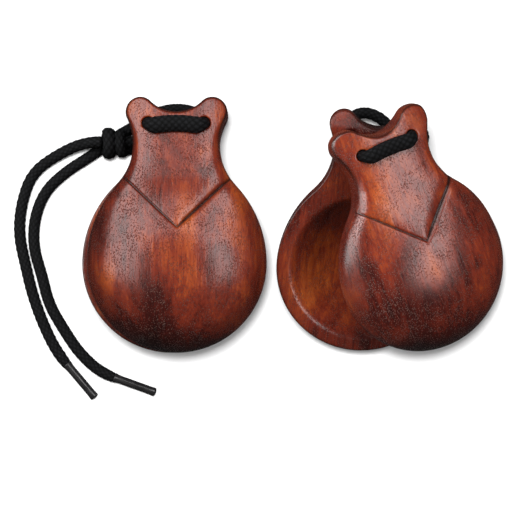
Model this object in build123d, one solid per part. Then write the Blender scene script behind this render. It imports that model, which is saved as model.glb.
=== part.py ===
from build123d import *

import os
from math import radians, sqrt, tan

# A pair of hand castanets. Each castanet is two hollowed wooden shells, laced together with one round
# cord that makes a stitch on the front, passes through four holes, makes a thumb loop behind the back
# shell and is tied in a knot with two tails. Millimetres; +Z up, the pair lies on z = 0.
#
# A shell's own frame: origin midway between its two lace holes on the flat rim plane, +Y towards the
# ears, +Z out through the domed side. A back shell is the mirror image in the rim plane.

# Shell outline
LOBE_R = 31.0
LOBE_Y = -47.4
FLANK_R = 38.0
NECK_HALF = 14.9
NECK_Y = -7.0
EAR_TOP = 9.3
EAR_HALF = 17.5
VALLEY_Y = 4.0

# Shell thickness
DOME_TOP = 16.8
DOME_DROP = 10.5
DOME_POWER = 2.6
NECK_TOP = 10.5
NECK_RISE = 0.13
NECK_DROP = 3.5
NECK_POWER = 3
BLEND_FROM = -18.0
BLEND_TO = -44.0
RIM_GAP = 0.15

# Hollow, groove and bevel
HOLLOW_R = 26.0
HOLLOW_DEPTH = 10.0
GROOVE_TIP_Y = -36.1
GROOVE_END = (20.0, -17.2)
GROOVE_WIDTH = 0.9
GROOVE_DEPTH = 0.8
PIVOT_Y = 3.0
BEVEL = 24.0

# Cord, lace holes, knots and aglets
CORD_D = 4.1
HOLE_X = 9.6
HOLE_R = 2.4
SEAT_R = CORD_D / 2 + 0.15
SINK_R = 3.3
SINK_DEPTH = 1.3
LINK_TOP = 1.15
FRONT_CORD_START = 1.35
BACK_CORD_START = -0.2
STITCH_Z = NECK_TOP + CORD_D / 2 + 0.1
STITCH_BEND = 4.0
KNOT_SIZE = (5.6, 10.8, 9.0)
KNOT_ROUND = 1.8
AGLET_D = 3.0
AGLET_LENGTH = 15.0
AGLET_END_Z = 1.55
AGLET_GAP = 0.12

# How the two castanets lie: the left one closed, the right one splayed open with its ears raised
RIGHT_SIZE = 0.95
LEFT_PLACE = Pos(-40.7, 34.5, 14.66) * Rot(-2.75, 0, 0)
LEFT_FRONT = LEFT_PLACE
LEFT_BACK = LEFT_PLACE * Rot(0, 0, -2.0)
RIGHT_BACK = Pos(27.8, 28.6, 28.02) * Rot(0, 0, -6.2) * Rot(13.6, 0, 0) * Rot(0, 1.0, 0)
RIGHT_FRONT = Pos(28.0, 27.4, 32.45) * Rot(0, 0, 20.0) * Rot(13.0, 0, 0) * Rot(0, 12.5, 0)

# Cord routes, as the corners of a polygon that the cord rounds off
LEFT_LOOP = [
    (-29.5, 31.2, 2.06),
    (-29.7, 36.2, 2.06),
    (-34.9, 40.4, 2.06),
    (-42.3, 41.4, 2.06),
    (-49.7, 39.4, 2.06),
    (-55.7, 35.2, 2.2),
    (-61.4, 32.0, 3.6),
]
LEFT_RETURN = [
    (-48.5, 35.4, 2.06),
    (-52.1, 30.6, 2.06),
    (-56.3, 27.0, 2.3),
    (-61.4, 26.4, 3.6),
]
LEFT_TAIL_OUTER = [
    (-67.1, 29.4, 6.7),
    (-73.0, 29.5, 5.6),
    (-82.9, 25.3, 2.7),
    (-92.1, 18.8, 2.06),
    (-95.9, 8.2, 2.06),
    (-96.9, -2.8, 2.06),
    (-94.5, -13.6, 2.06),
    (-92.0, -24.2, 2.06),
    (-88.2, -34.6, 2.06),
    (-83.4, -44.4, 2.06),
    (-79.7, -48.8, 2.06),
]
LEFT_TAIL_INNER = [
    (-67.1, 27.7, 2.3),
    (-71.5, 24.6, 2.06),
    (-80.1, 19.3, 2.06),
    (-87.7, 12.3, 2.06),
    (-91.4, 2.6, 2.06),
    (-91.7, -7.5, 2.06),
    (-88.7, -17.3, 2.06),
    (-86.3, -27.3, 2.06),
    (-81.2, -36.1, 2.06),
    (-75.5, -44.7, 2.06),
    (-67.9, -51.6, 2.06),
    (-62.9, -53.4, 2.06),
]
RIGHT_LOOP = [
    (19.0, 31.8, 18.4),
    (18.6, 33.6, 13.8),
    (19.6, 38.0, 10.6),
    (25.0, 39.9, 9.0),
    (31.6, 36.9, 7.8),
    (35.2, 30.8, 6.6),
    (34.9, 26.0, 5.4),
    (35.1, 21.6, 4.8),
]
RIGHT_RETURN = [
    (37.1, 29.8, 18.2),
    (38.2, 31.6, 14.0),
    (43.1, 34.6, 11.4),
    (45.6, 31.0, 8.6),
    (43.3, 26.2, 6.0),
    (40.3, 21.6, 4.8),
]
RIGHT_TAIL_OUTER = [
    (40.3, 16.0, 4.8),
    (41.9, 10.3, 3.4),
    (47.7, 5.8, 2.06),
    (55.7, 2.8, 2.06),
    (62.2, -3.2, 2.06),
    (65.7, -11.7, 2.06),
    (64.7, -21.2, 2.06),
    (58.7, -28.7, 2.06),
]
RIGHT_TAIL_INNER = [
    (35.1, 16.0, 4.8),
    (35.5, 9.3, 3.2),
    (39.7, 2.3, 2.06),
    (47.0, -1.0, 2.06),
    (54.6, -3.6, 2.06),
    (59.2, -9.7, 2.06),
    (59.2, -17.2, 2.06),
    (55.2, -23.7, 2.06),
]
LEFT_KNOT = Pos(-64.25, 29, 4.55)
RIGHT_KNOT = Pos(37.7, 18.8, 4.55) * Rot(0, 0, -90)


def tangent_point(centre, radius, other):
    """The point of a circle on the line from its centre to another circle's centre."""
    return centre + (other - centre).normalized() * radius


def outline_arcs():
    """Right half of the outline as tangent arcs, each a start, an end, a centre and a radius."""
    lobe = Vector(0, LOBE_Y)
    flank = Vector(LOBE_R - FLANK_R, LOBE_Y)
    reach = NECK_HALF - flank.X
    rise = NECK_Y - flank.Y
    neck_r = (reach**2 + rise**2 - FLANK_R**2) / (2 * (FLANK_R - reach))
    neck = Vector(NECK_HALF + neck_r, NECK_Y)
    half_b = (neck.X - EAR_HALF) - (EAR_TOP - NECK_Y) - neck_r
    rest = (neck.X - EAR_HALF) ** 2 + (EAR_TOP - NECK_Y) ** 2 - neck_r**2
    ear_r = -half_b - sqrt(half_b**2 - rest)
    ear = Vector(EAR_HALF - ear_r, EAR_TOP - ear_r)
    drop = VALLEY_Y - ear.Y
    valley_r = (ear.X**2 + drop**2 - ear_r**2) / (2 * (ear_r - drop))
    valley = Vector(0, VALLEY_Y + valley_r)
    stops = [
        Vector(0, LOBE_Y - LOBE_R),
        Vector(LOBE_R, LOBE_Y),
        tangent_point(flank, FLANK_R, neck),
        tangent_point(ear, ear_r, neck),
        tangent_point(ear, ear_r, valley),
        Vector(0, VALLEY_Y),
    ]
    middles = [
        lobe + Vector(1, -1).normalized() * LOBE_R,
        flank + (stops[1] + stops[2] - flank * 2).normalized() * FLANK_R,
        neck + (stops[2] + stops[3] - neck * 2).normalized() * neck_r,
        ear + (Vector(EAR_HALF, EAR_TOP) - ear).normalized() * ear_r,
        valley + (stops[4] + stops[5] - valley * 2).normalized() * valley_r,
    ]
    return stops, middles


def outline_face():
    """The closed outline of a shell: lobe, flanks, neck, ears and the valley between them."""
    stops, middles = outline_arcs()
    half = [ThreePointArc(stops[i], middles[i], stops[i + 1]) for i in range(len(middles))]
    edges = half + [edge.mirror(Plane.YZ) for edge in half]
    return make_face(Wire(edges))


def crown(x, y):
    """Height of the domed side above the rim plane."""
    radius = sqrt(x**2 + (y - LOBE_Y) ** 2)
    lobe = DOME_TOP - DOME_DROP * (radius / LOBE_R) ** DOME_POWER
    half = EAR_HALF + 0.5 * max(0.0, -y - 12.0)
    neck = NECK_TOP - NECK_RISE * y - NECK_DROP * (abs(x) / half) ** NECK_POWER
    share = min(1.0, max(0.0, (BLEND_FROM - y) / (BLEND_FROM - BLEND_TO)))
    share = share * share * (3 - 2 * share)
    return neck * (1 - share) + lobe * share


def under_crown(lowered=0.0):
    """Everything below the domed surface, optionally lowered by a little."""
    columns = [-34 + 68 * i / 24 for i in range(25)]
    rows = [-82 + 95 * j / 30 for j in range(31)]
    points = [[Vector(x, y, crown(x, y) - lowered) for y in rows] for x in columns]
    surface = Face.make_surface_from_array_of_points(points, tol=0.01)
    return Solid.extrude(surface, Vector(0, 0, -80))


def groove_cutter():
    """The V-shaped groove that parts the neck from the dome."""
    tip = Vector(0, GROOVE_TIP_Y)
    cutters = []
    for side in (-1, 1):
        end = Vector(side * GROOVE_END[0], GROOVE_END[1])
        along = end - tip
        place = Plane(origin=(tip + end) / 2, x_dir=along, z_dir=(0, 0, 1))
        strip = Rectangle(along.length + GROOVE_WIDTH, GROOVE_WIDTH)
        cutters.append(extrude(place * strip, 40))
    return (cutters[0] + cutters[1]) - under_crown(GROOVE_DEPTH)


def hollow():
    """The resonating hollow: a spherical cap cut into the rim plane."""
    ball_r = (HOLLOW_R**2 + HOLLOW_DEPTH**2) / (2 * HOLLOW_DEPTH)
    return Pos(0, LOBE_Y, HOLLOW_DEPTH - ball_r) * Sphere(ball_r)


def bevel():
    """The wedge cut off the inner side of the ears, so that the shells can rock open."""
    reach = 20.0
    wedge = Polyline((0, -5), (0, 0), (reach, reach * tan(radians(BEVEL))), (reach, -5), close=True)
    place = Plane(origin=(-30, PIVOT_Y, 0), x_dir=(0, 1, 0), z_dir=(1, 0, 0))
    return extrude(place * make_face(wedge), 60)


def stitch_path(start_z, size):
    """The lacing's centreline: up one hole, across the neck and down the other."""
    reach = HOLE_X * size
    top = STITCH_Z * size
    corners = [(-reach, 0, start_z), (-reach, 0, top), (reach, 0, top), (reach, 0, start_z)]
    return FilletPolyline(*corners, radius=STITCH_BEND * size)


def tube(path, radius):
    """A round cord along a path of straight runs and tangent arcs."""
    section = Plane(origin=path @ 0, z_dir=path % 0) * Circle(radius)
    return sweep(section, path=path)


def arc_radii(corners):
    """Bend radius at each inner corner of a route, as large as its two runs allow."""
    radii = []
    for before, here, after in zip(corners, corners[1:], corners[2:]):
        run_in = Vector(*here) - Vector(*before)
        run_out = Vector(*after) - Vector(*here)
        half_turn = radians(run_in.get_angle(run_out)) / 2
        radii.append(0.45 * min(run_in.length, run_out.length) / tan(half_turn))
    return radii


def cord(name, corners):
    """One stretch of cord along a hand-set route."""
    radii = arc_radii(corners)
    path = FilletPolyline(*corners, radius=radii)
    print(name, "length", round(path.length, 1), "radii", [round(r, 1) for r in radii])
    return tube(path, CORD_D / 2)


def lace_holes(stitched):
    """The two lace holes with their countersinks, and the seat worn by the cord over their edges."""
    cutter = None
    for x in (-HOLE_X, HOLE_X):
        hole = Pos(x, 0, 0) * Cylinder(HOLE_R, 60)
        sink = Pos(x, 0, SINK_DEPTH / 2) * Cone(SINK_R, HOLE_R, SINK_DEPTH)
        cutter = hole + sink if cutter is None else cutter + hole + sink
    if stitched:
        cutter += tube(stitch_path(-1.0, 1.0), SEAT_R)
    return cutter


def shell(stitched):
    """One wooden shell in its own frame, domed side up."""
    blank = extrude(outline_face(), 40) & under_crown()
    blank -= Pos(0, -40, RIM_GAP / 2) * Box(80, 120, RIM_GAP)
    blank -= hollow()
    blank -= bevel()
    blank -= groove_cutter()
    blank -= lace_holes(stitched)
    return blank.solid()


def front_lacing(size):
    """The cord in a front shell: both hole spans and the stitch between them."""
    return tube(stitch_path(FRONT_CORD_START, size), CORD_D / 2)


def back_lacing(size):
    """The cord in the two holes of a back shell, down to its domed side."""
    bottom = -crown(HOLE_X, 0) * size
    length = BACK_CORD_START - bottom
    middle = (BACK_CORD_START + bottom) / 2
    spans = [Pos(x * size, 0, middle) * Cylinder(CORD_D / 2, length) for x in (-HOLE_X, HOLE_X)]
    return Compound(children=[span.solid() for span in spans])


def left_link():
    """The short lengths of cord between the closed shells, in the front shell's countersinks."""
    length = LINK_TOP - RIM_GAP
    middle = (LINK_TOP + RIM_GAP) / 2
    spans = [Pos(x, 0, middle) * Cylinder(CORD_D / 2, length) for x in (-HOLE_X, HOLE_X)]
    return Compound(children=[LEFT_FRONT * span.solid() for span in spans])


def right_link():
    """The slanting lengths of cord that cross the gap between the splayed shells."""
    reach = HOLE_X * RIGHT_SIZE
    above_back = RIGHT_BACK * Pos(0, 0, 50.05) * Box(200, 200, 100)
    below_front = RIGHT_FRONT * Pos(0, 0, -50.05) * Box(200, 200, 100)
    spans = []
    for x in (-reach, reach):
        low = (RIGHT_BACK * Pos(x, 0, -1.0)).position
        high = (RIGHT_FRONT * Pos(x, 0, 1.0)).position
        along = high - low
        rod = Plane(origin=(low + high) / 2, z_dir=along) * Cylinder(CORD_D / 2 - 0.1, along.length)
        spans.append((rod & above_back & below_front).solid())
    return Compound(children=spans)


def knot(place):
    """The knot's outer shape: a short barrel with rounded edges."""
    block = Box(*KNOT_SIZE)
    return place * fillet(block.edges(), KNOT_ROUND).solid()


def aglet(route):
    """The hard tip on a tail's end, lying on the floor in line with the tail."""
    last = Vector(*route[-1])
    heading = (last - Vector(*route[-2])).normalized()
    end = last + heading * AGLET_GAP
    tip = end + heading * AGLET_LENGTH
    along = Vector(tip.X, tip.Y, AGLET_END_Z) - end
    rod = Cylinder(AGLET_D / 2, along.length, align=(Align.CENTER, Align.CENTER, Align.MIN))
    rod = fillet(rod.edges().group_by(Axis.Z)[-1], 0.5)
    return Plane(origin=end, z_dir=along) * rod.solid()


def castanet_shells():
    """Both castanets' wooden shells, each where it lies."""
    front = shell(stitched=True)
    back = shell(stitched=False).mirror(Plane.XY)
    return {
        "left_front_shell": LEFT_FRONT * front,
        "left_back_shell": LEFT_BACK * back,
        "right_front_shell": RIGHT_FRONT * scale(front, by=RIGHT_SIZE),
        "right_back_shell": RIGHT_BACK * scale(back, by=RIGHT_SIZE),
    }


def lacings():
    """The cord inside and between the shells."""
    return {
        "left_front_lacing": LEFT_FRONT * front_lacing(1.0),
        "left_back_lacing": LEFT_BACK * back_lacing(1.0),
        "left_link_cords": left_link(),
        "right_front_lacing": RIGHT_FRONT * front_lacing(RIGHT_SIZE),
        "right_back_lacing": RIGHT_BACK * back_lacing(RIGHT_SIZE),
        "right_link_cords": right_link(),
    }


def loose_cords():
    """The thumb loops, the knots, the tails and their aglets."""
    routes = {
        "left_thumb_loop": LEFT_LOOP,
        "left_loop_return": LEFT_RETURN,
        "left_tail_outer": LEFT_TAIL_OUTER,
        "left_tail_inner": LEFT_TAIL_INNER,
        "right_thumb_loop": RIGHT_LOOP,
        "right_loop_return": RIGHT_RETURN,
        "right_tail_outer": RIGHT_TAIL_OUTER,
        "right_tail_inner": RIGHT_TAIL_INNER,
    }
    pieces = {name: cord(name, corners) for name, corners in routes.items()}
    for name, corners in routes.items():
        if "tail" in name:
            pieces[name.replace("tail", "aglet")] = aglet(corners)
    pieces["left_knot"] = knot(LEFT_KNOT)
    pieces["right_knot"] = knot(RIGHT_KNOT)
    return pieces


def main():
    """Builds every piece and writes one file for each."""
    os.makedirs("parts", exist_ok=True)
    for name, piece in (castanet_shells() | lacings() | loose_cords()).items():
        export_step(piece, f"parts/{name}.step")


main()
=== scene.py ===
import math

import bpy
import numpy as np
from mathutils import Matrix, Vector
from mathutils.geometry import delaunay_2d_cdt


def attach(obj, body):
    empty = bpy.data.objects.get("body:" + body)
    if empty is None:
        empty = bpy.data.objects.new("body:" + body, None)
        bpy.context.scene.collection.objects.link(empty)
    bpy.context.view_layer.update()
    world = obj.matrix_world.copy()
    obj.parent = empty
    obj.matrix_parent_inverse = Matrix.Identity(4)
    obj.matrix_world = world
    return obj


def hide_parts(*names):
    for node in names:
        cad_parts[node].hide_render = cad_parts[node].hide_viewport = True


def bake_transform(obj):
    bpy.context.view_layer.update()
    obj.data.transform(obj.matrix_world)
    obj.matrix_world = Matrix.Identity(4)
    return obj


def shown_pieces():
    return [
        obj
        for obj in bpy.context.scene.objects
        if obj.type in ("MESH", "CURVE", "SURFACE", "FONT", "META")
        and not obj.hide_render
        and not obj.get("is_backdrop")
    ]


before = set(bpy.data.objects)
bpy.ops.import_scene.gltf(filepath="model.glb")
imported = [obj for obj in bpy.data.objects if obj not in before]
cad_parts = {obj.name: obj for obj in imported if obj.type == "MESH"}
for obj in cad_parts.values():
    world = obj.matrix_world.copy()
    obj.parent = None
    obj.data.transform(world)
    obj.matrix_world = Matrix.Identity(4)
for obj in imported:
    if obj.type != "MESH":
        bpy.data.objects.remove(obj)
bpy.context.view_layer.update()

# A pair of wooden castanets on black braided cords. A shell is built in its own frame in millimetres:
# origin midway between its lace holes on the rim plane, +Y towards the ears, +Z out through the dome.

MM = 0.001

# Shell outline
LOBE_R = 31.0
LOBE_Y = -47.4
FLANK_R = 38.0
NECK_HALF = 14.9
NECK_Y = -7.0
EAR_TOP = 9.3
EAR_HALF = 17.5
VALLEY_Y = 4.0

# Shell height
DOME_TOP = 16.8
DOME_DROP = 10.5
DOME_POWER = 2.6
NECK_TOP = 10.5
NECK_RISE = 0.13
NECK_DROP = 3.5
BLEND_FROM = -18.0
BLEND_TO = -44.0
RIM_GAP = 0.15

# V groove. Its tip is a little off the middle line, and its right branch is cut wider and deeper.
GROOVE_TIP_X = 0.6
GROOVE_TIP_Y = -36.1
GROOVE_END = (20.0, -17.2)
GROOVE_WIDTH = 0.27
GROOVE_DEPTH = 0.6
RIGHT_WIDER = 0.30
RIGHT_DEEPER = 0.25
NECK_SHOULDER = 5.0
LOBE_SHOULDER = 1.2

# Hollow, bevelled rim under the ears, and lace holes
HOLLOW_R = 26.0
HOLLOW_DEPTH = 10.0
HOLLOW_SOFT = 1.1
PIVOT_Y = 3.0
BEVEL = 24.0
BEVEL_SOFT = 0.3
RIM_ROUND = 0.55
HOLE_X = 9.6
HOLE_R = 2.15
HOLE_ROUND = 0.6
SINK_DEPTH = 1.3
SINK_REACH = 1.1

# Spacing of the shell's mesh and of the finer outline that distances are measured to
RING_STEP = 0.62
EAR_STEP = 0.36
FILL_STEP = 0.85
BORDER_STEP = 0.06
EAR_BORDER_STEP = 0.05
HOLE_POINTS = 32
HOLE_MARGIN = 2.3
WALL_ROWS = 5

CORD_D = 4.1
CORD_R = CORD_D / 2
LACING_R = 2.02
LINK_R = 1.85
RIGHT_SIZE = 0.95


def turn(x=0.0, y=0.0, z=0.0):
    """A rotation in degrees, Y first, then X, then Z."""
    about_z = Matrix.Rotation(math.radians(z), 4, "Z")
    about_x = Matrix.Rotation(math.radians(x), 4, "X")
    about_y = Matrix.Rotation(math.radians(y), 4, "Y")
    return about_z @ about_x @ about_y


def place(x, y, z, turned, size=1.0):
    """A shell's place in the frame, in millimetres."""
    return Matrix.Translation((x, y, z)) @ turned @ Matrix.Scale(size, 4)


MIRROR = Matrix.Scale(-1, 4, (0, 0, 1))
LEFT_FRONT = place(-40.7, 34.5, 14.66, turn(x=-2.75))
LEFT_BACK = LEFT_FRONT @ turn(z=-2.0)
RIGHT_BACK = place(27.8, 28.6, 28.02, turn(x=13.6, z=-6.2) @ turn(y=1.0), RIGHT_SIZE)
RIGHT_FRONT = place(28.0, 27.4, 32.45, turn(x=13.0, z=20.0) @ turn(y=12.5), RIGHT_SIZE)


def make_camera():
    """A long lens straight above the pair."""
    data = bpy.data.cameras.new("camera")
    data.lens = 150
    data.sensor_width = 36
    camera = bpy.data.objects.new("camera", data)
    camera.location = (-0.012, -0.0119, 0.764)
    bpy.context.collection.objects.link(camera)
    bpy.context.scene.camera = camera


# ---------------------------------------------------------------- materials


class Nodes:
    """A material with one shader, and helpers that add and join its nodes."""

    def __init__(self, name):
        self.material = bpy.data.materials.new(name)
        self.material.use_nodes = True
        self.tree = self.material.node_tree
        self.tree.nodes.clear()
        output = self.add("ShaderNodeOutputMaterial")
        self.shader = self.add("ShaderNodeBsdfPrincipled")
        self.join(self.shader.outputs[0], output.inputs["Surface"])

    def add(self, kind, **settings):
        node = self.tree.nodes.new(kind)
        for key, value in settings.items():
            setattr(node, key, value)
        return node

    def join(self, source, target):
        if hasattr(source, "is_output"):
            self.tree.links.new(source, target)
        else:
            target.default_value = source

    def math(self, kind, first, second=0.0, third=0.0, clamp=False):
        node = self.add("ShaderNodeMath", operation=kind, use_clamp=clamp)
        for value, socket in zip((first, second, third), node.inputs):
            self.join(value, socket)
        return node.outputs[0]

    def scaled(self, vector, factors):
        node = self.add("ShaderNodeVectorMath", operation="MULTIPLY")
        self.join(vector, node.inputs[0])
        node.inputs[1].default_value = factors
        return node.outputs[0]

    def noise(self, vector, scale, detail=2.0, roughness=0.5, distortion=0.0):
        node = self.add("ShaderNodeTexNoise")
        self.join(vector, node.inputs["Vector"])
        node.inputs["Scale"].default_value = scale
        node.inputs["Detail"].default_value = detail
        node.inputs["Roughness"].default_value = roughness
        node.inputs["Distortion"].default_value = distortion
        return node.outputs["Fac"]

    def stretch(self, value, low, high, to_low=0.0, to_high=1.0, smooth=False):
        node = self.add("ShaderNodeMapRange", clamp=True)
        if smooth:
            node.interpolation_type = "SMOOTHSTEP"
        self.join(value, node.inputs[0])
        for socket, number in zip(node.inputs[1:5], (low, high, to_low, to_high)):
            socket.default_value = number
        return node.outputs[0]

    def ramp(self, factor, stops):
        node = self.add("ShaderNodeValToRGB")
        self.join(factor, node.inputs[0])
        elements = node.color_ramp.elements
        while len(elements) < len(stops):
            elements.new(0.5)
        for element, (position, colour) in zip(elements, stops):
            element.position = position
            element.color = (*colour, 1.0)
        return node.outputs[0]

    def mix(self, factor, first, second, blend="MIX"):
        node = self.add("ShaderNodeMix", data_type="RGBA", blend_type=blend)
        self.join(factor, node.inputs[0])
        for value, socket in ((first, node.inputs[6]), (second, node.inputs[7])):
            self.join(value if hasattr(value, "is_output") else (*value, 1.0), socket)
        return node.outputs[2]

    def attribute(self, name):
        return self.add("ShaderNodeAttribute", attribute_name=name)

    def bump(self, height, strength, distance, below=None):
        node = self.add("ShaderNodeBump")
        node.inputs["Strength"].default_value = strength
        node.inputs["Distance"].default_value = distance
        self.join(height, node.inputs["Height"])
        if below is not None:
            self.join(below, node.inputs["Normal"])
        return node.outputs[0]


def wood_material():
    """Dark reddish lacquered hardwood: mottled streaks along the grain and open pores, with painted glints
    on the pores and painted shade from the shell's maps.
    """
    n = Nodes("lacquered_wood")
    grain = n.attribute("grain").outputs["Vector"]
    # The tone map holds the wood's tone and, at the bottom of each lobe, painted shade.
    tone_and_shade = n.attribute("tone_and_shade").outputs["Fac"]
    edge = n.attribute("edge").outputs["Fac"]

    mottle = n.noise(n.scaled(grain, (1.0, 0.5, 1.0)), 70.0, 4.0, 0.6, 0.6)
    streak = n.noise(n.scaled(grain, (1.0, 0.07, 1.0)), 520.0, 3.0, 0.6, 0.3)
    fibre = n.noise(n.scaled(grain, (1.0, 0.06, 1.0)), 2600.0, 2.0, 0.6)
    level = n.math("MULTIPLY_ADD", n.math("SUBTRACT", mottle, 0.5), 1.05, tone_and_shade)
    level = n.math("MULTIPLY_ADD", n.math("SUBTRACT", streak, 0.5), 0.38, level)
    level = n.math("MULTIPLY_ADD", n.math("SUBTRACT", fibre, 0.5), 0.50, level)
    colour = n.ramp(
        level,
        [
            (0.02, (0.012, 0.0020, 0.0015)),
            (0.28, (0.042, 0.0055, 0.0036)),
            (0.50, (0.128, 0.0170, 0.0078)),
            (0.72, (0.245, 0.0450, 0.0100)),
            (0.95, (0.380, 0.1000, 0.0200)),
        ],
    )

    pores = n.add("ShaderNodeTexVoronoi", feature="F1")
    n.join(n.scaled(grain, (1.0, 0.7, 1.0)), pores.inputs["Vector"])
    pores.inputs["Scale"].default_value = 2150.0
    pores.inputs["Randomness"].default_value = 1.0
    crowd = n.noise(grain, 190.0, 1.0)
    size = n.stretch(crowd, 0.34, 0.66, 0.22, 0.44)
    pit = n.stretch(n.math("SUBTRACT", size, pores.outputs["Distance"]), 0.0, 0.14, smooth=True)
    # Pale specks on the pores in darker wood are painted glints.
    dull = n.stretch(level, 0.30, 0.52, 1.0, 0.0)
    painted_glint = n.math("MULTIPLY", n.stretch(pores.outputs["Distance"], 0.16, 0.26, 1.0, 0.0), dull)
    colour = n.mix(n.math("MULTIPLY", pit, 0.32), colour, (0.008, 0.002, 0.0015))
    colour = n.mix(n.math("MULTIPLY", painted_glint, 0.40), colour, (0.36, 0.20, 0.15))
    # The shell's darkening map paints shade into the groove and round the lobe, and a dark line along the
    # outline.
    colour = n.mix(edge, colour, (0.012, 0.004, 0.003))
    n.join(colour, n.shader.inputs["Base Color"])

    rough = n.math("MULTIPLY_ADD", streak, 0.08, 0.21)
    rough = n.math("MULTIPLY_ADD", pit, 0.30, rough)
    n.join(rough, n.shader.inputs["Roughness"])
    n.shader.inputs["Specular IOR Level"].default_value = 0.5

    waves = n.bump(n.math("ADD", n.math("MULTIPLY", streak, 0.5), mottle), 0.30, 0.0004)
    pitted = n.bump(n.math("MULTIPLY", pit, -1.0), 1.0, 0.00030, waves)
    fine = n.bump(fibre, 0.50, 0.00010, pitted)
    n.join(fine, n.shader.inputs["Normal"])
    return n.material


def cord_material():
    """Black braided polyester: matt yarns with a little lint, and painted shade between the strands."""
    n = Nodes("black_braid")
    braid = n.add("ShaderNodeUVMap", uv_map="braid").outputs[0]
    parts = n.add("ShaderNodeSeparateXYZ")
    n.join(braid, parts.inputs[0])
    around, along = parts.outputs[0], parts.outputs[1]
    one = n.math("ADD", around, along)
    other = n.math("SUBTRACT", around, along)
    cells = n.math("ADD", n.math("FLOOR", one), n.math("FLOOR", other))
    over = n.math("PINGPONG", cells, 1.0)
    across = n.math("ADD", n.math("MULTIPLY", over, other),
                    n.math("MULTIPLY", n.math("SUBTRACT", 1.0, over), one))
    yarn = n.math("SINE", n.math("MULTIPLY", across, 2 * math.pi * 5))
    place_at = n.attribute("grain").outputs["Vector"]
    fuzz = n.noise(place_at, 2600.0, 3.0, 0.7)
    patch = n.noise(place_at, 420.0, 2.0)
    level = n.math("MULTIPLY_ADD", fuzz, 0.6, n.math("MULTIPLY", patch, 0.4))
    colour = n.ramp(level, [(0.30, (0.0016, 0.0016, 0.0019)), (0.75, (0.0100, 0.0103, 0.0118))])
    # The gaps between the strands are painted near black as painted shade.
    lift = n.stretch(n.attribute("lift").outputs["Fac"], 0.35, 0.95)
    colour = n.mix(lift, (0.0004, 0.0004, 0.0005), colour)
    lint = n.stretch(n.noise(place_at, 1900.0, 1.0), 0.80, 0.86)
    colour = n.mix(n.math("MULTIPLY", lint, 0.35), colour, (0.32, 0.32, 0.30))
    n.join(colour, n.shader.inputs["Base Color"])
    n.shader.inputs["Roughness"].default_value = 0.78
    n.shader.inputs["Specular IOR Level"].default_value = 0.20
    height = n.math("MULTIPLY_ADD", yarn, 0.5, n.math("MULTIPLY", fuzz, 1.2))
    n.join(n.bump(height, 0.5, 0.00008), n.shader.inputs["Normal"])
    return n.material


def aglet_material():
    """Black shrunk plastic, glossy with long soft wrinkles."""
    n = Nodes("shrunk_plastic")
    place_at = n.attribute("grain").outputs["Vector"]
    wrinkle = n.noise(n.scaled(place_at, (1.0, 0.12, 1.0)), 1500.0, 3.0, 0.55)
    smudge = n.noise(place_at, 500.0, 2.0)
    colour = n.ramp(wrinkle, [(0.3, (0.006, 0.006, 0.007)), (0.8, (0.030, 0.028, 0.028))])
    n.join(colour, n.shader.inputs["Base Color"])
    n.join(n.stretch(smudge, 0.3, 0.7, 0.18, 0.38), n.shader.inputs["Roughness"])
    n.shader.inputs["Specular IOR Level"].default_value = 0.55
    n.join(n.bump(wrinkle, 0.5, 0.00012), n.shader.inputs["Normal"])
    return n.material


def floor_material():
    """A plain white paper sweep with the faintest tooth."""
    n = Nodes("white_floor")
    place_at = n.add("ShaderNodeTexCoord").outputs["Object"]
    tooth = n.noise(place_at, 900.0, 2.0)
    n.join(n.ramp(tooth, [(0.0, (0.86, 0.86, 0.86)), (1.0, (0.90, 0.90, 0.90))]),
           n.shader.inputs["Base Color"])
    n.shader.inputs["Roughness"].default_value = 0.9
    n.shader.inputs["Specular IOR Level"].default_value = 0.1
    return n.material


# ------------------------------------------------------------ general meshes


def new_object(name, points, faces, material):
    """A smooth-shaded mesh object from points in metres."""
    mesh = bpy.data.meshes.new(name)
    mesh.from_pydata([tuple(p) for p in points], [], [tuple(f) for f in faces])
    mesh.polygons.foreach_set("use_smooth", [True] * len(mesh.polygons))
    mesh.materials.append(material)
    mesh.update()
    piece = bpy.data.objects.new(name, mesh)
    bpy.context.collection.objects.link(piece)
    return piece


def set_vectors(piece, name, values):
    """Stores a vector for each point of a mesh."""
    layer = piece.data.attributes.new(name, "FLOAT_VECTOR", "POINT")
    layer.data.foreach_set("vector", np.asarray(values, np.float32).ravel())


def set_numbers(piece, name, values):
    """Stores a number for each point of a mesh."""
    layer = piece.data.attributes.new(name, "FLOAT", "POINT")
    layer.data.foreach_set("value", np.asarray(values, np.float32).ravel())


def smoothstep(value, low, high):
    """0 up to low, 1 from high on, and a smooth rise between."""
    t = np.clip((value - low) / (high - low), 0, 1)
    return t * t * (3 - 2 * t)


def moved(points, matrix):
    """Points through a 4x4 matrix."""
    m = np.array(matrix, float)
    return np.asarray(points, float) @ m[:3, :3].T + m[:3, 3]


def smooth_line(route, scale=1.0):
    """The smooth NURBS line through a route, as closely spaced points."""
    data = bpy.data.curves.new("route", "CURVE")
    data.dimensions = "3D"
    spline = data.splines.new("NURBS")
    spline.points.add(len(route) - 1)
    for point, corner in zip(spline.points, route):
        point.co = (*(c * scale for c in corner), 1.0)
    spline.order_u = 3
    spline.use_endpoint_u = True
    spline.resolution_u = 48
    holder = bpy.data.objects.new("route", data)
    mesh = bpy.data.meshes.new_from_object(holder)
    line = np.array([v.co for v in mesh.vertices], float)
    bpy.data.meshes.remove(mesh)
    bpy.data.objects.remove(holder)
    bpy.data.curves.remove(data)
    return line


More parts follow.
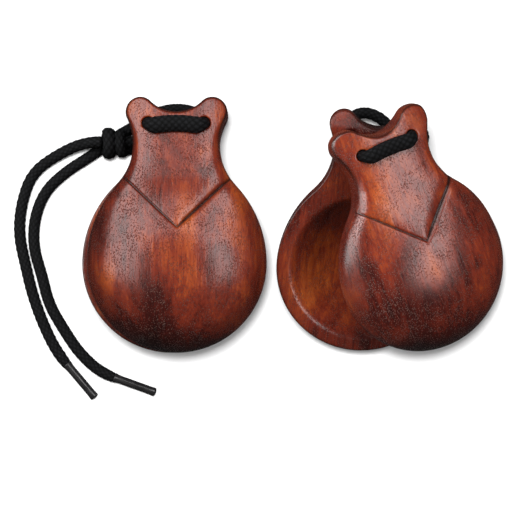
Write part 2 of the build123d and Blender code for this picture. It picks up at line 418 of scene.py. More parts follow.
def evenly(line, spacing):
    """The same line as evenly spaced points."""
    steps = np.linalg.norm(np.diff(line, axis=0), axis=1)
    keep = np.concatenate([[True], steps > 1e-9])
    line = line[keep]
    along = np.concatenate([[0.0], np.cumsum(steps[keep[1:]])])
    count = max(4, int(round(along[-1] / spacing)) + 1)
    wanted = np.linspace(0.0, along[-1], count)
    return np.stack([np.interp(wanted, along, line[:, k]) for k in range(3)], axis=1)


def length_of(line):
    return float(np.linalg.norm(np.diff(line, axis=0), axis=1).sum())


def carried_frames(line, side):
    """Side and up directions along a line, carried without twist."""
    tangent = np.gradient(line, axis=0)
    tangent /= np.linalg.norm(tangent, axis=1)[:, None]
    sides = np.zeros_like(line)
    current = np.array(side, float)
    for i, t in enumerate(tangent):
        current = current - t * (current @ t)
        current /= np.linalg.norm(current)
        sides[i] = current
    return sides, np.cross(tangent, sides)


# -------------------------------------------------------------------- cords

PLAITS = 7
PLAIT_LENGTH = 2.3 * MM
BRAID_DEPTH = 0.3 * MM
END_ROUND = 0.6 * MM
AROUND = 56
CORD_STEP = 0.2 * MM


def plait_height(around, along):
    """Height of the braid's surface, 0 in the gaps and 1 on a strand, in strand widths."""
    one = around + along
    other = around - along
    a = one - np.floor(one)
    b = other - np.floor(other)
    odd = (np.floor(one) + np.floor(other)) % 2 > 0.5
    width = np.where(odd, b, a)
    run = np.where(odd, a, b)
    return np.sqrt(np.sin(math.pi * width)) * np.sin(math.pi * run) ** 0.45


def tube_faces(rows, around):
    """Quads round a tube made of rings, and a cap on each end."""
    row = np.arange(rows - 1)[:, None] * around
    column = np.arange(around)[None, :]
    after = (column + 1) % around
    quads = np.stack([row + column, row + after, row + around + after, row + around + column], -1)
    caps = [tuple(range(around - 1, -1, -1)), tuple(range((rows - 1) * around, rows * around))]
    return [tuple(f) for f in quads.reshape(-1, 4)] + caps


def braided_tube(name, line, half_width, half_height, material, side=(0, 0, 1)):
    """A braided cord along a line in metres. Half width lies along side; both may vary along it."""
    line = evenly(line, CORD_STEP)
    count = len(line)
    step = np.linalg.norm(np.diff(line, axis=0), axis=1)
    along = np.concatenate([[0.0], np.cumsum(step)])
    sides, ups = carried_frames(line, side)
    wide = np.broadcast_to(half_width(along) if callable(half_width) else half_width, count)
    tall = np.broadcast_to(half_height(along) if callable(half_height) else half_height, count)
    theta = 2 * math.pi * np.arange(AROUND) / AROUND
    u = PLAITS * np.arange(AROUND) / AROUND
    v = along / PLAIT_LENGTH
    height = plait_height(u[None, :], v[:, None])
    inset = np.minimum(along, along[-1] - along)
    ends = np.sqrt(1 - (1 - np.clip(inset / END_ROUND, 0.02, 1)) ** 2)
    relief = (height - 1.0) * BRAID_DEPTH
    across = (wide[:, None] + relief) * ends[:, None] * np.cos(theta)
    upward = (tall[:, None] + relief) * ends[:, None] * np.sin(theta)
    points = line[:, None, :] + across[..., None] * sides[:, None, :] + upward[..., None] * ups[:, None, :]
    points = points.reshape(-1, 3)
    piece = new_object(name, points, tube_faces(count, AROUND), material)
    braid_uv(piece, count, u, v)
    set_vectors(piece, "grain", points)
    set_numbers(piece, "lift", height.ravel())
    return piece, line


def braid_uv(piece, count, u, v):
    """UVs that count strands around the cord and plaits along it."""
    layer = piece.data.uv_layers.new(name="braid")
    quads = (count - 1) * AROUND
    first = np.tile(u, count - 1)
    last = first + PLAITS / AROUND
    low = np.repeat(v[:-1], AROUND)
    high = np.repeat(v[1:], AROUND)
    uv = np.zeros((len(layer.data), 2))
    uv[: quads * 4] = np.stack([first, low, last, low, last, high, first, high], -1).reshape(-1, 2)
    layer.data.foreach_set("uv", uv.astype(np.float32).ravel())


# Cord routes, in millimetres
LEFT_LOOP = [
    (-29.5, 31.2, 2.06),
    (-29.7, 36.2, 2.06),
    (-34.9, 40.4, 2.06),
    (-42.3, 41.4, 2.06),
    (-49.7, 39.4, 2.06),
    (-55.7, 35.2, 2.2),
    (-61.4, 32.0, 3.6),
]
LEFT_RETURN = [
    (-48.5, 35.4, 2.06),
    (-52.1, 30.6, 2.06),
    (-56.3, 27.0, 2.3),
    (-61.4, 26.4, 3.6),
]
LEFT_TAIL_OUTER = [
    (-67.1, 29.4, 6.7),
    (-73.0, 29.5, 5.6),
    (-82.9, 25.3, 2.7),
    (-92.1, 18.8, 2.06),
    (-95.9, 8.2, 2.06),
    (-96.9, -2.8, 2.06),
    (-94.5, -13.6, 2.06),
    (-92.0, -24.2, 2.06),
    (-88.2, -34.6, 2.06),
    (-83.4, -44.4, 2.06),
    (-79.7, -48.8, 2.06),
]
LEFT_TAIL_INNER = [
    (-67.1, 27.7, 2.3),
    (-71.5, 24.6, 2.06),
    (-80.1, 19.3, 2.06),
    (-87.7, 12.3, 2.06),
    (-91.4, 2.6, 2.06),
    (-91.7, -7.5, 2.06),
    (-88.7, -17.3, 2.06),
    (-86.3, -27.3, 2.06),
    (-81.2, -36.1, 2.06),
    (-75.5, -44.7, 2.06),
    (-67.9, -51.6, 2.06),
    (-62.9, -53.4, 2.06),
]
RIGHT_LOOP = [
    (19.0, 31.8, 18.4),
    (18.6, 33.6, 13.8),
    (19.6, 38.0, 10.6),
    (25.0, 39.9, 9.0),
    (31.6, 36.9, 7.8),
    (35.2, 30.8, 6.6),
    (34.9, 26.0, 5.4),
    (35.1, 21.6, 4.8),
]
RIGHT_RETURN = [
    (37.1, 29.8, 18.2),
    (38.2, 31.6, 14.0),
    (43.1, 34.6, 11.4),
    (45.6, 31.0, 8.6),
    (43.3, 26.2, 6.0),
    (40.3, 21.6, 4.8),
]
RIGHT_TAIL_OUTER = [
    (40.3, 16.0, 4.8),
    (41.9, 10.3, 3.4),
    (47.7, 5.8, 2.06),
    (55.7, 2.8, 2.06),
    (62.2, -3.2, 2.06),
    (65.7, -11.7, 2.06),
    (64.7, -21.2, 2.06),
    (58.7, -28.7, 2.06),
]
RIGHT_TAIL_INNER = [
    (35.1, 16.0, 4.8),
    (35.5, 9.3, 3.2),
    (39.7, 2.3, 2.06),
    (47.0, -1.0, 2.06),
    (54.6, -3.6, 2.06),
    (59.2, -9.7, 2.06),
    (59.2, -17.2, 2.06),
    (55.2, -23.7, 2.06),
]
BRAID = "_braid"
AGLET_LENGTH = 15.0
AGLET_OVERLAP = 0.6
AGLET_END_Z = 1.55
AGLET_RINGS = 72
AGLET_AROUND = 40
LEFT_KNOT = Matrix.Translation((-64.25, 29, 4.55))
RIGHT_KNOT = Matrix.Translation((37.7, 18.8, 4.55)) @ Matrix.Rotation(math.radians(-90), 4, "Z")


def stand_in(piece, node, body):
    """The piece stands for a CAD node and rides on its body."""
    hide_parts(node)
    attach(piece, body)


def tail(name, route, body, braid, plastic):
    """A free tail of the cord with its aglet."""
    line = smooth_line(route, MM)
    total = length_of(line)

    def radius(along):
        left = np.clip((total - along) / (4.0 * MM), 0, 1)
        return (1.62 + 0.43 * np.sqrt(left)) * MM

    piece, path = braided_tube(name + BRAID, line, radius, radius, braid)
    tip_name = name.replace("tail", "aglet")
    tip = aglet(tip_name + "_sleeve", route, plastic)
    stand_in(piece, name, body)
    stand_in(tip, tip_name, body)


def aglet(name, route, plastic):
    """A shrunk plastic sleeve: a soft collar over the braid, a straight shank and a pinched tip."""
    last, before = np.array(route[-1]), np.array(route[-2])
    heading = (last - before) / np.linalg.norm(last - before)
    start = last - heading * AGLET_OVERLAP
    end = last + heading * (AGLET_LENGTH + 0.1)
    end[2] = AGLET_END_Z
    axis = end - start
    reach = np.linalg.norm(axis)
    axis /= reach
    side = np.cross((0, 0, 1), axis)
    side /= np.linalg.norm(side)
    up = np.cross(axis, side)
    t = np.linspace(0, 1, AGLET_RINGS)
    x = t * reach
    collar = 1.62 - 0.17 * np.clip((x - 0.4) / 2.0, 0, 1)
    flare = 0.10 * np.exp(-((x - 0.5) / 0.45) ** 2)
    pinch = np.clip((x - (reach - 2.6)) / 2.6, 0, 1) ** 1.5
    wide = collar + flare + 0.16 * pinch
    tall = collar + flare - 0.30 * pinch
    rounding = np.sqrt(np.clip(1 - (1 - np.clip((reach - x) / 0.55, 0, 1)) ** 2, 0.0, 1))
    mouth = np.sqrt(np.clip(1 - (1 - np.clip(x / 0.25, 0, 1)) ** 2, 0.35, 1))
    shape = np.clip(rounding, 0.25, 1) * mouth
    theta = 2 * math.pi * np.arange(AGLET_AROUND) / AGLET_AROUND
    facets = 1 + 0.018 * np.cos(3 * theta + 2.0 * t[:, None]) + 0.012 * np.cos(5 * theta - 1.0)
    across = (wide * shape)[:, None] * facets * np.cos(theta)
    upward = (tall * shape)[:, None] * facets * np.sin(theta)
    centre = start + x[:, None] * axis
    points = centre[:, None, :] + across[..., None] * side + upward[..., None] * up
    points[..., 2] = np.maximum(points[..., 2], 0.02)
    local = np.stack([across, np.broadcast_to(x[:, None], across.shape), upward], -1).reshape(-1, 3)
    piece = new_object(name, points.reshape(-1, 3) * MM, tube_faces(AGLET_RINGS, AGLET_AROUND), plastic)
    set_vectors(piece, "grain", local * MM)
    return piece


def thumb_loop(name, route, body, braid):
    """The loop for the thumb, from a lace hole round to the knot."""
    piece, path = braided_tube(name + BRAID, smooth_line(route, MM), CORD_R * MM, CORD_R * MM, braid)
    stand_in(piece, name, body)


def plain_cord(name, route, body, braid):
    """A short stretch of cord that isn't free."""
    piece, _ = braided_tube(name + BRAID, smooth_line(route, MM), CORD_R * MM, CORD_R * MM, braid)
    stand_in(piece, name, body)


def wrap_route(x_from, x_to, half_y, half_z, turns, start, lean=0.0):
    """A helical wrap about the X axis."""
    route = []
    count = int(10 * turns) + 1
    for i in range(count):
        share = i / (count - 1)
        angle = start + 2 * math.pi * turns * share
        x = x_from + (x_to - x_from) * share + lean * math.sin(angle)
        route.append((x, half_y * math.cos(angle), half_z * math.sin(angle)))
    return route


def knot(name, where, body, braid):
    """An overhand knot: a wide wrap on the tails' side, a second turn behind it and the core."""
    pieces = []
    wrap = wrap_route(-0.95, -0.35, 4.1, 2.75, 1.25, math.radians(200), 0.35)
    second = wrap_route(3.1, 4.4, 3.6, 2.3, 1.0, math.radians(-60), -0.5)
    core = [(-2.6, -1.2, -0.6), (0.0, 0.4, 0.2), (3.6, 0.4, 0.1), (8.2, 0.3, -1.4)]
    along = tuple(where.to_3x3() @ Vector((1, 0, 0)))
    turns = ((wrap, 2.45, 1.75, along), (second, 2.1, 1.7, along), (core, 2.6, 2.4, (0, 0, 1)))
    for i, (route, wide, tall, side) in enumerate(turns):
        line = moved(smooth_line(route), where) * MM
        pieces.append(braided_tube(f"{name}_{i}", line, wide * MM, tall * MM, braid, side)[0])
    stand_in(joined(name + BRAID, pieces), name, body)


def joined(name, pieces):
    """Several meshes made into one piece."""
    with bpy.context.temp_override(active_object=pieces[0], object=pieces[0],
                                   selected_objects=pieces, selected_editable_objects=pieces):
        bpy.ops.object.join()
    pieces[0].name = name
    pieces[0].data.name = name
    return pieces[0]


def front_lacing(name, where, body, braid, shift=0.0):
    """The flat stitch across the neck, with its two ends going down the lace holes."""
    half = [
        (HOLE_X, 0.0, 1.4),
        (HOLE_X, 0.0, 5.0),
        (HOLE_X, 0.0, 8.6),
        (HOLE_X, shift * 0.5, 11.0),
        (HOLE_X - 2.2, shift, 12.3),
        (HOLE_X - 5.0, shift * 0.6, 12.05),
        (HOLE_X - 8.0, shift * 0.4, 12.1),
    ]
    route = [(-x, y, z) for x, y, z in half] + [(x, y, z) for x, y, z in reversed(half)]
    line = moved(smooth_line(route), where) * MM
    total = length_of(line)
    size = where.to_scale()[0]

    def flatness(along):
        return smoothstep(np.minimum(along, total - along) / size / MM, 8.0, 12.5)

    def wide(along):
        return (LACING_R + 0.95 * flatness(along)) * size * MM

    def tall(along):
        return (1.98 - 0.42 * flatness(along)) * size * MM

    side = np.array((where.to_3x3() @ Vector((0, 1, 0))).normalized())
    piece, _ = braided_tube(name + BRAID, line, wide, tall, braid, side)
    stand_in(piece, name, body)


def back_lacing(name, where, body, braid):
    """The cord in the two holes of a back shell, out to its domed side."""
    radius = LACING_R * where.to_scale()[0] * MM
    pieces = []
    for i, x in enumerate((-HOLE_X, HOLE_X)):
        route = [(x, 0, -0.4), (x, 0, -3.5), (x, 0, -7.0), (x, 0, -10.3)]
        line = moved(smooth_line(route), where) * MM
        pieces.append(braided_tube(f"{name}_{i}", line, radius, radius, braid, (0, 1, 0))[0])
    stand_in(joined(name + BRAID, pieces), name, body)


def link_cords(name, back, front, braid):
    """The two lengths of cord between the shells. They bend from one height in the back shell's frame
    to another in the front shell's."""
    radius = LINK_R * front.to_scale()[0] * MM
    pieces = []
    for i, x in enumerate((-HOLE_X, HOLE_X)):
        lower = [back @ Vector((x, 0, z)) for z in (-1.6, 0.1)]
        upper = [front @ Vector((x, 0, z)) for z in (0.4, 2.2)]
        line = smooth_line([tuple(p * MM) for p in lower + upper])
        pieces.append(braided_tube(f"{name}_{i}", line, radius, radius, braid, (0, 1, 0))[0])
    piece = joined(name + BRAID, pieces)
    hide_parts(name)
    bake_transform(piece)


# -------------------------------------------------------------------- shells


def arc_points(centre, radius, start, end, spacing, outward):
    """Points and inward normals along one arc, the last point left out."""
    count = max(2, int(round(abs(end - start) * radius / spacing)))
    angle = start + (end - start) * np.arange(count) / count
    ray = np.stack([np.cos(angle), np.sin(angle)], 1)
    return centre + radius * ray, -ray if outward else ray


def outline(spacing, ear_spacing):
    """Points round the whole outline with their inward normals, anticlockwise from the bottom."""
    flank = np.array([LOBE_R - FLANK_R, LOBE_Y])
    lobe = np.array([0.0, LOBE_Y])
    reach, rise = NECK_HALF - flank[0], NECK_Y - flank[1]
    neck_r = (reach**2 + rise**2 - FLANK_R**2) / (2 * (FLANK_R - reach))
    neck = np.array([NECK_HALF + neck_r, NECK_Y])
    half_b = (neck[0] - EAR_HALF) - (EAR_TOP - NECK_Y) - neck_r
    rest = (neck[0] - EAR_HALF) ** 2 + (EAR_TOP - NECK_Y) ** 2 - neck_r**2
    ear_r = -half_b - math.sqrt(half_b**2 - rest)
    ear = np.array([EAR_HALF - ear_r, EAR_TOP - ear_r])
    drop = VALLEY_Y - ear[1]
    valley_r = (ear[0] ** 2 + drop**2 - ear_r**2) / (2 * (ear_r - drop))
    valley = np.array([0.0, VALLEY_Y + valley_r])

    def angle(source, target):
        return math.atan2(target[1] - source[1], target[0] - source[0])

    quarter = math.pi / 2
    runs = [
        (lobe, LOBE_R, -quarter, 0.0, spacing, True),
        (flank, FLANK_R, 0.0, angle(flank, neck), spacing, True),
        (neck, neck_r, angle(neck, flank) + 2 * math.pi, angle(neck, ear), spacing, False),
        (ear, ear_r, angle(ear, neck), angle(ear, valley), ear_spacing, True),
        (valley, valley_r, angle(valley, ear), -quarter, ear_spacing, False),
    ]
    parts = [arc_points(*run) for run in runs]
    points = np.concatenate([p for p, _ in parts] + [[(0.0, VALLEY_Y)]])
    inward = np.concatenate([n for _, n in parts] + [[(0.0, -1.0)]])
    flip = np.array([-1.0, 1.0])
    points = np.concatenate([points, points[-2:0:-1] * flip])
    inward = np.concatenate([inward, inward[-2:0:-1] * flip])
    return points, inward


def crown(x, y):
    """Height of the domed side above the rim plane, before its edges are rounded."""
    radius = np.hypot(x, y - LOBE_Y)
    lobe = DOME_TOP - DOME_DROP * (radius / LOBE_R) ** DOME_POWER
    half = EAR_HALF + 0.5 * np.maximum(0.0, -y - 12.0)
    neck = NECK_TOP - NECK_RISE * y - NECK_DROP * (np.abs(x) / half) ** 3
    share = smoothstep(-y, -BLEND_FROM, -BLEND_TO)
    return neck * (1 - share) + lobe * share


def round_width(y):
    """How far in from the outline the rounding of the domed side starts."""
    return 1.1 + 1.6 * smoothstep(-y, -4.0, 8.0) + 4.3 * smoothstep(-y, 8.0, 40.0)


def rounding_width(points, domed):
    """How far in from the outline one side's rounding starts, at each point."""
    return round_width(points[:, 1]) if domed else np.full(len(points), RIM_ROUND)


def round_drop(y):
    """How far the rounding of the domed side goes down at the outline."""
    return 1.4 + 1.9 * smoothstep(-y, -4.0, 8.0) + 1.7 * smoothstep(-y, 8.0, 40.0)


def groove_line():
    """Tip, direction, normal and length of the groove's right branch, as if its tip were at x = 0."""
    tip = np.array((0.0, GROOVE_TIP_Y))
    branch = np.array(GROOVE_END) - tip
    reach = np.linalg.norm(branch)
    along = branch / reach
    return tip, along, np.array([-along[1], along[0]]), reach


def groove_offset(x, y):
    """Signed distance to the V groove, positive on the neck's side."""
    tip, _, normal, _ = groove_line()
    return np.abs(x - GROOVE_TIP_X) * normal[0] + (y - tip[1]) * normal[1]


def right_branch(x):
    """1 on the groove's right branch, which is cut wider and deeper, and 0 on its left."""
    return smoothstep(x, GROOVE_TIP_X, GROOVE_TIP_X + 4.0)


def dome_side(x, y, d):
    """Height of the finished domed side, d being the distance in from the outline."""
    z = crown(x, y)
    across = groove_offset(x, y)
    fade = smoothstep(d, 0.0, 1.2)
    right = right_branch(x)
    shoulder = np.clip(1 - np.abs(across) / np.where(across > 0, NECK_SHOULDER, LOBE_SHOULDER), 0, 1)
    z = z - np.where(across > 0, 0.45 + 0.75 * right, 0.12) * shoulder**2
    width = GROOVE_WIDTH + RIGHT_WIDER * right
    depth = GROOVE_DEPTH + RIGHT_DEEPER * right
    z = z - depth * fade * np.exp(-(across / width) ** 2)
    inset = np.clip(1 - d / round_width(y), 0, 1)
    z = z - round_drop(y) * (1 - np.sqrt(1 - inset**2))
    hole = np.hypot(np.abs(x) - HOLE_X, y)
    inset = np.clip(1 - (hole - HOLE_R) / HOLE_ROUND, 0, 1)
    return z - HOLE_ROUND * (1 - np.sqrt(np.maximum(0, 1 - inset**2)))


def soft_floor(value, soft):
    """The value where it's above zero, with its corner at zero rounded off."""
    return np.maximum(value, 0) + np.maximum(soft - np.abs(value), 0) ** 2 / (4 * soft)


def rim_side(x, y, d):
    """Height of the finished rim side."""
    ball = (HOLLOW_R**2 + HOLLOW_DEPTH**2) / (2 * HOLLOW_DEPTH)
    radius = np.hypot(x, y - LOBE_Y)
    cap = np.sqrt(np.maximum(ball**2 - radius**2, 1.0)) - (ball - HOLLOW_DEPTH)
    bowl = soft_floor(cap, HOLLOW_SOFT)
    rock = soft_floor((y - PIVOT_Y) * math.tan(math.radians(BEVEL)), BEVEL_SOFT)
    inset = np.clip(1 - d / RIM_ROUND, 0, 1)
    edge = RIM_ROUND * (1 - np.sqrt(1 - inset**2))
    hole = np.hypot(np.abs(x) - HOLE_X, y)
    sink = SINK_DEPTH * (1 - smoothstep(hole, HOLE_R, HOLE_R + SINK_REACH))
    return RIM_GAP + bowl + rock + edge + sink


def distance_in(points, border, inward):
    """Distance from each point to the outline, negative outside."""
    result = np.empty(len(points))
    for start in range(0, len(points), 400):
        block = points[start:start + 400]
        gap = block[:, None, :] - border[None, :, :]
        near = np.argmin((gap**2).sum(-1), axis=1)
        pick = gap[np.arange(len(block)), near]
        result[start:start + 400] = (pick * inward[near]).sum(-1)
    return result


def inside(points, ring):
    """Whether each point is inside a closed polygon."""
    x, y = points[:, 0, None], points[:, 1, None]
    x0, y0 = ring[:, 0], ring[:, 1]
    x1, y1 = np.roll(x0, -1), np.roll(y0, -1)
    crosses = (y0 > y) != (y1 > y)
    at = x0 + (y - y0) * (x1 - x0) / np.where(y1 == y0, 1e-12, y1 - y0)
    return (crosses & (x < at)).sum(1) % 2 == 1


def hexagonal(spacing):
    """An even field of points over the right half of a shell."""
    rows = np.arange(-79.0, 10.0, spacing * math.sqrt(3) / 2)
    points = []
    for i, y in enumerate(rows):
        for x in np.arange(0.0 if i % 2 == 0 else spacing / 2, 32.0, spacing):
            points.append((x, y))
    return np.array(points)


def circle(radius):
    """Points round the right lace hole."""
    angle = 2 * math.pi * np.arange(HOLE_POINTS) / HOLE_POINTS
    return np.array([HOLE_X, 0.0]) + radius * np.stack([np.cos(angle), np.sin(angle)], 1)


def groove_points():
    """Points close beside the right branch of the groove."""
    tip, along, normal, reach = groove_line()
    points = []
    for e in (0.0, 0.13, 0.27, 0.45, 0.75, 1.15, 1.7, 2.4, 3.2):
        for side in {e, -e}:
            points.append((0.0, tip[1] + side / normal[1]))
            for t in np.arange(0.0, reach + 1, 0.55):
                p = tip + along * t + normal * side
                if p[0] > 0.2:
                    points.append(tuple(p))
    return np.array(points)


def both_sides(points):
    """Points of the right half with their mirror images."""
    mirrored = points[points[:, 0] > 1e-6] * np.array([-1.0, 1.0])
    return np.concatenate([points, mirrored])


def inset_rings(domed, ring, ring_in):
    """The outline and the rings inside it that carry the rounding, with each point's distance in."""
    width = rounding_width(ring, domed)
    steps = 9 if domed else 4
    rings, depths = [ring], [np.zeros(len(ring))]
    for k in range(1, steps + 1):
        d = width * (1 - math.cos(math.pi / 2 * k / steps))
        rings.append(ring + ring_in * d[:, None])
        depths.append(d)
    points, depth = np.concatenate(rings), np.concatenate(depths)
    if domed:
        keep = (np.abs(groove_offset(points[:, 0], points[:, 1])) > 3.3) | (depth < 0.2)
        keep[:len(ring)] = True
        points, depth = points[keep], depth[keep]
    return points, depth


def hole_rings():
    """Rings of points round both lace holes, the holes' own edges first."""
    steps = np.concatenate([HOLE_ROUND * (1 - np.cos(np.linspace(0, math.pi / 2, 6))), [1.2, 1.8]])
    return [both_sides(circle(HOLE_R + step)) for step in steps]


def field(domed, border, border_in):
    """Points that fill one side: an even field, and closer ones along its groove or its hollow's edge."""
    even = hexagonal(FILL_STEP)
    fine = groove_points() if domed else crease_points()
    if domed:
        keep = np.abs(groove_offset(even[:, 0], even[:, 1])) > 3.6
    else:
        keep = np.abs(np.hypot(even[:, 0], even[:, 1] - LOBE_Y) - HOLLOW_R) > 3.0
    keep &= distance_in(even, border, border_in) > rounding_width(even, domed) + 0.35
    even = even[keep]
    fine = fine[distance_in(fine, border, border_in) > 0.25]
    parts = [p[np.hypot(p[:, 0] - HOLE_X, p[:, 1]) > HOLE_R + HOLE_MARGIN] for p in (even, fine)]
    return np.concatenate([both_sides(p) for p in parts])


def surface(domed, ring, ring_in, border, border_in):
    """Triangulated points of one side: 2D points, distances in, faces, outline and hole indices."""
    rings, depth = inset_rings(domed, ring, ring_in)
    holes = hole_rings()
    rest = np.concatenate([holes[0], field(domed, border, border_in)] + holes[1:])
    points = np.concatenate([rings, rest])
    d = np.concatenate([depth, distance_in(rest, border, border_in)])

    count, holes_at = len(ring), len(rings)
    loops = [range(count)]
    loops += [range(at, at + HOLE_POINTS) for at in (holes_at, holes_at + HOLE_POINTS)]
    edges = [(a, b) for loop in loops for a, b in zip(loop, [*loop[1:], loop[0]])]
    verts, _, faces, origin, _, _ = delaunay_2d_cdt([Vector(p) for p in points], edges, [], 0, 1e-7)
    assert all(origin), "the outline crosses itself"
    where = np.array([tuple(v) for v in verts])
    faces = np.array(faces)

    centre = where[faces].mean(1)
    good = inside(centre, ring)
    bore = HOLE_R * math.cos(math.pi / HOLE_POINTS)
    for side in (-1, 1):
        good &= np.hypot(centre[:, 0] - side * HOLE_X, centre[:, 1]) > bore

    index = np.full(len(points), -1)
    for i, sources in enumerate(origin):
        index[list(sources)] = i
    hole_index = index[holes_at:holes_at + 2 * HOLE_POINTS]
    first = [min(sources) for sources in origin]
    return where, d[first], faces[good], index[:count], hole_index


def crease_points():
    """Points close beside the hollow's edge, on the right half."""
    points = []
    for offset in (-2.6, -2.0, -1.5, -1.1, -0.75, -0.4, 0.0, 0.4, 0.8, 1.3, 1.9, 2.6):
        radius = HOLLOW_R + offset
        count = int(math.pi * radius / 0.75)
        for i in range(count + 1):
            angle = -math.pi / 2 + math.pi * i / count
            points.append((max(0.0, radius * math.cos(angle)), LOBE_Y + radius * math.sin(angle)))
    points = np.array(points)
    points[points[:, 0] < 1e-6, 0] = 0.0
    return points


def bridge(lower, upper):
    """Quads between two loops of the same length."""
    count = len(lower)
    return [(lower[i], lower[(i + 1) % count], upper[(i + 1) % count], upper[i]) for i in range(count)]


def dome_shade_and_outline(points, d):
    """How much darker the domed side is painted: painted shade in the groove and round the lobe, and a dark
    line along the outline.
    """
    x, y = points[:, 0], points[:, 1]
    # Painted shade in the groove, wider on its right branch.
    groove = np.exp(-(groove_offset(x, y) / (0.30 + 0.22 * right_branch(x))) ** 2)
    # A dark line just in from the outline, stronger on the neck and ears.
    edge = np.exp(-((d - 0.35) / 0.4) ** 2) * (0.35 + 0.55 * smoothstep(y, -16.0, -2.0))
    # Painted shade round the lobe's outline.
    lobe_shade = 0.34 * (1 - smoothstep(d, 0.5, 8.0)) * smoothstep(-y, 16.0, 34.0)
    return np.maximum(np.maximum(groove, edge), lobe_shade)


def shell_mesh():
    """One shell in its own frame: points, faces and how much darker it is painted at each point, partly
    painted shade.
    """
    ring, ring_in = outline(RING_STEP, EAR_STEP)
    border, border_in = outline(BORDER_STEP, EAR_BORDER_STEP)
    top, top_d, top_faces, top_rim, top_holes = surface(True, ring, ring_in, border, border_in)
    low, low_d, low_faces, low_rim, low_holes = surface(False, ring, ring_in, border, border_in)
    top_z = dome_side(top[:, 0], top[:, 1], top_d)
    low_z = rim_side(low[:, 0], low[:, 1], low_d)
    points = [np.column_stack([top, top_z]), np.column_stack([low, low_z])]
    low_at = len(top)
    faces = [tuple(f) for f in top_faces] + [tuple(f[::-1] + low_at) for f in low_faces]

    previous = low_rim + low_at
    start = low_at + len(low)
    for k in range(1, WALL_ROWS):
        share = k / WALL_ROWS
        z = low_z[low_rim] * (1 - share) + top_z[top_rim] * share
        points.append(np.column_stack([ring, z]))
        current = start + np.arange(len(ring))
        faces += bridge(previous, current)
        previous = current
        start += len(ring)
    faces += bridge(previous, top_rim)
    for k in (0, HOLE_POINTS):
        faces += bridge(top_holes[k:k + HOLE_POINTS], low_holes[k:k + HOLE_POINTS] + low_at)

    # A dark line along the rim side's outline, and the side wall painted darker throughout.
    rim_dark = np.exp(-((low_d - 0.2) / 0.35) ** 2) * 0.6
    wall_dark = np.full((WALL_ROWS - 1) * len(ring), 0.35)
    dark = np.concatenate([dome_shade_and_outline(top, top_d), rim_dark, wall_dark])
    return np.concatenate(points), faces, dark


def blobs(points, spots, base):
    """A soft map of lighter and darker patches, wood tone and painted shade: base plus rounded patches."""
    value = np.full(len(points), base)
    for x, y, wide, tall, amount in spots:
        gap = ((points[:, 0] - x) / wide) ** 2 + ((points[:, 1] - y) / tall) ** 2
        value += amount * np.exp(-gap)
    return value


def flared(points):
    """The shell with its ears a little wider and longer."""
    x, y = points[:, 0], points[:, 1]
    wider = 1.1 * smoothstep(np.abs(x), 10.5, 17.0) * smoothstep(y, -14.0, 1.0) * np.sign(x)
    longer = 0.8 * smoothstep(y, 2.4, 6.0)
    return points + np.column_stack([wider, longer, np.zeros(len(points))])


def shell(name, mesh, where, body, wood, grain_at, base, spots, mirrored=False):
    """One wooden shell where it lies."""
    points, faces, dark = mesh
    if mirrored:
        where = where @ MIRROR
        faces = [tuple(reversed(f)) for f in faces]
    piece = new_object(name + "_wood", moved(points, where) * MM, faces, wood)
    set_vectors(piece, "grain", points * MM + np.array(grain_at))
    set_numbers(piece, "edge", dark)
    set_numbers(piece, "tone_and_shade", blobs(points, spots, base))
    stand_in(piece, name, body)


# Light and dark patches on the shells, wood tone and some painted shade: x, y, half width, half length,
# amount
LEFT_SPOTS = [
    (2.5, -42.0, 3.0, 13.0, 0.08),
    (-23.0, -50.0, 5.0, 7.0, 0.12),
    (-20.0, -40.0, 6.0, 12.0, -0.22),
    (-7.0, -62.0, 6.0, 9.0, -0.18),
    (-7.0, -45.0, 5.0, 8.0, 0.13),
    # Painted shade at the bottom of the lobe.
    (0.0, -77.0, 28.0, 11.0, -0.42),
    (-27.0, -36.0, 6.0, 13.0, -0.26),
    (22.0, -33.0, 6.0, 12.0, 0.04),
    (12.0, -40.0, 6.0, 12.0, -0.10),
    (-12.0, -6.0, 3.0, 10.0, 0.06),
    (-14.0, 5.0, 4.0, 5.0, 0.22),
    (14.0, 5.0, 4.0, 5.0, 0.06),
    (11.0, -14.0, 4.0, 8.0, -0.12),
]
RIGHT_SPOTS = [
    (-9.5, -12.0, 3.6, 17.0, 0.16),
    (-13.0, 6.0, 4.0, 4.0, 0.24),
    (-9.0, -35.0, 5.0, 6.0, -0.04),
    (-20.0, -56.0, 8.0, 8.0, -0.22),
    (-25.0, -40.0, 6.0, 10.0, -0.14),
    (-6.0, -56.0, 8.0, 8.0, -0.20),
    # Painted shade at the bottom of the lobe.
    (-4.0, -77.0, 26.0, 12.0, -0.42),
    (-0.5, -46.0, 6.0, 8.0, 0.30),
    (16.0, -34.0, 5.0, 6.0, -0.10),
    (17.0, -47.0, 6.0, 8.0, 0.16),
    (13.0, 5.0, 4.0, 5.0, 0.22),
    (8.0, -18.0, 4.0, 9.0, -0.04),
]
BACK_SPOTS = [
    (-20.0, -62.0, 7.0, 6.0, 0.15),
    (0.0, -75.0, 16.0, 5.0, -0.10),
    (-14.0, -50.0, 6.0, 10.0, 0.12),
    (0.0, 4.0, 18.0, 6.0, -0.26),
]


# ------------------------------------------------------------- floor and light


def make_floor():
    """A wide white sheet under the pair."""
    size = 3.0
    points = [(-size, -size, 0), (size, -size, 0), (size, size, 0), (-size, size, 0)]
    floor = new_object("floor", points, [(0, 1, 2, 3)], floor_material())
    floor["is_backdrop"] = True
    floor.visible_glossy = False
    floor.visible_diffuse = False
    return floor


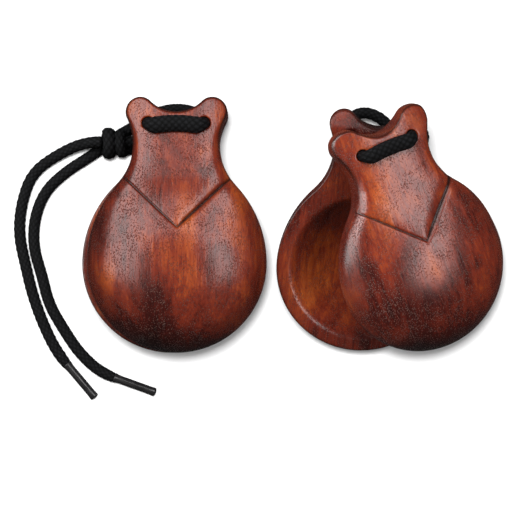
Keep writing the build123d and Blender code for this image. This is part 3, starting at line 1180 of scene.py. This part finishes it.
def area_light(name, azimuth, polar, distance, size, power, lit, glossy=True):
    """A soft box aimed at the pair. Azimuth is from +X, polar from straight up, in degrees."""
    data = bpy.data.lights.new(name, "AREA")
    data.shape = "RECTANGLE"
    data.size, data.size_y = size
    data.energy = power
    light = bpy.data.objects.new(name, data)
    a, p = math.radians(azimuth), math.radians(polar)
    away = Vector((math.cos(a) * math.sin(p), math.sin(a) * math.sin(p), math.cos(p)))
    light.location = away * distance
    light.rotation_mode = "QUATERNION"
    light.rotation_quaternion = away.to_track_quat("Z", "Y")
    light.visible_glossy = glossy
    light.light_linking.receiver_collection = lit
    bpy.context.collection.objects.link(light)


def receivers(name, objects):
    """A collection of the objects that a light falls on."""
    group = bpy.data.collections.new(name)
    for item in objects:
        group.objects.link(item)
    return group


def make_lights(floor):
    """Soft boxes for the castanets, two more for the floor and a dim white sky."""
    pair = receivers("lit_pair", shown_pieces())
    left = receivers("lit_left", [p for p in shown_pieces() if p.name.startswith("left")])
    right = receivers("lit_right", [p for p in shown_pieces() if p.name.startswith("right")])
    sheet = receivers("lit_floor", [floor])
    flank = receivers("lit_flank", [bpy.data.objects["right_front_shell_wood"]])
    area_light("floor_box", 118, 9, 1.0, (0.22, 0.22), 12.5, sheet)
    area_light("floor_fill", 0, 0, 1.0, (2.0, 2.0), 9.5, sheet)
    area_light("key_box", 100, 42, 1.0, (0.5, 0.5), 9.5, pair, glossy=False)
    area_light("right_key", 15, 48, 1.0, (0.5, 0.5), 4.2, pair, glossy=False)
    area_light("left_box", 156, 45, 0.9, (0.85, 0.58), 7.6, pair)
    area_light("right_box", 22, 31, 1.0, (0.8, 0.36), 4.9, left)
    area_light("far_box", 2, 33, 1.0, (0.75, 0.36), 5.0, right)
    area_light("top_box", 90, 30, 1.0, (0.5, 0.2), 0.8, pair)
    area_light("side_box", 180, 68, 0.9, (0.7, 0.9), 11.0, flank)
    world = bpy.data.worlds.new("studio")
    world.use_nodes = True
    background = world.node_tree.nodes["Background"]
    background.inputs["Color"].default_value = (1, 1, 1, 1)
    background.inputs["Strength"].default_value = 0.05
    bpy.context.scene.world = world
    bpy.context.scene.view_settings.view_transform = "Standard"


def make_cords(braid, plastic):
    """Every stretch of cord, both knots and the four aglets."""
    tail("left_tail_outer", LEFT_TAIL_OUTER, "left_back", braid, plastic)
    tail("left_tail_inner", LEFT_TAIL_INNER, "left_back", braid, plastic)
    tail("right_tail_outer", RIGHT_TAIL_OUTER, "right_back", braid, plastic)
    tail("right_tail_inner", RIGHT_TAIL_INNER, "right_back", braid, plastic)
    thumb_loop("left_thumb_loop", LEFT_LOOP, "left_back", braid)
    thumb_loop("right_thumb_loop", RIGHT_LOOP, "right_back", braid)
    plain_cord("left_loop_return", LEFT_RETURN, "left_back", braid)
    plain_cord("right_loop_return", RIGHT_RETURN, "right_back", braid)
    knot("left_knot", LEFT_KNOT, "left_back", braid)
    knot("right_knot", RIGHT_KNOT, "right_back", braid)
    front_lacing("left_front_lacing", LEFT_FRONT, "left_front", braid, -1.1)
    front_lacing("right_front_lacing", RIGHT_FRONT, "right_front", braid, -0.8)
    back_lacing("left_back_lacing", LEFT_BACK, "left_back", braid)
    back_lacing("right_back_lacing", RIGHT_BACK, "right_back", braid)
    link_cords("left_link_cords", LEFT_BACK, LEFT_FRONT, braid)
    link_cords("right_link_cords", RIGHT_BACK, RIGHT_FRONT, braid)


def make_shells(wood):
    """The four wooden shells."""
    mesh = shell_mesh()
    wide_mesh = (flared(mesh[0]), *mesh[1:])
    shell("left_front_shell", mesh, LEFT_FRONT, "left_front", wood, (0.0, 0.0, 0.0), 0.50, LEFT_SPOTS)
    shell("left_back_shell", mesh, LEFT_BACK, "left_back", wood, (0.3, 0.1, 0.2), 0.48, BACK_SPOTS, True)
    shell("right_front_shell", wide_mesh, RIGHT_FRONT, "right_front", wood, (0.7, 0.4, 0.1), 0.46,
          RIGHT_SPOTS)
    shell("right_back_shell", mesh, RIGHT_BACK, "right_back", wood, (0.5, 0.9, 0.6), 0.46, BACK_SPOTS, True)


make_camera()
make_cords(cord_material(), aglet_material())
make_shells(wood_material())
make_lights(make_floor())
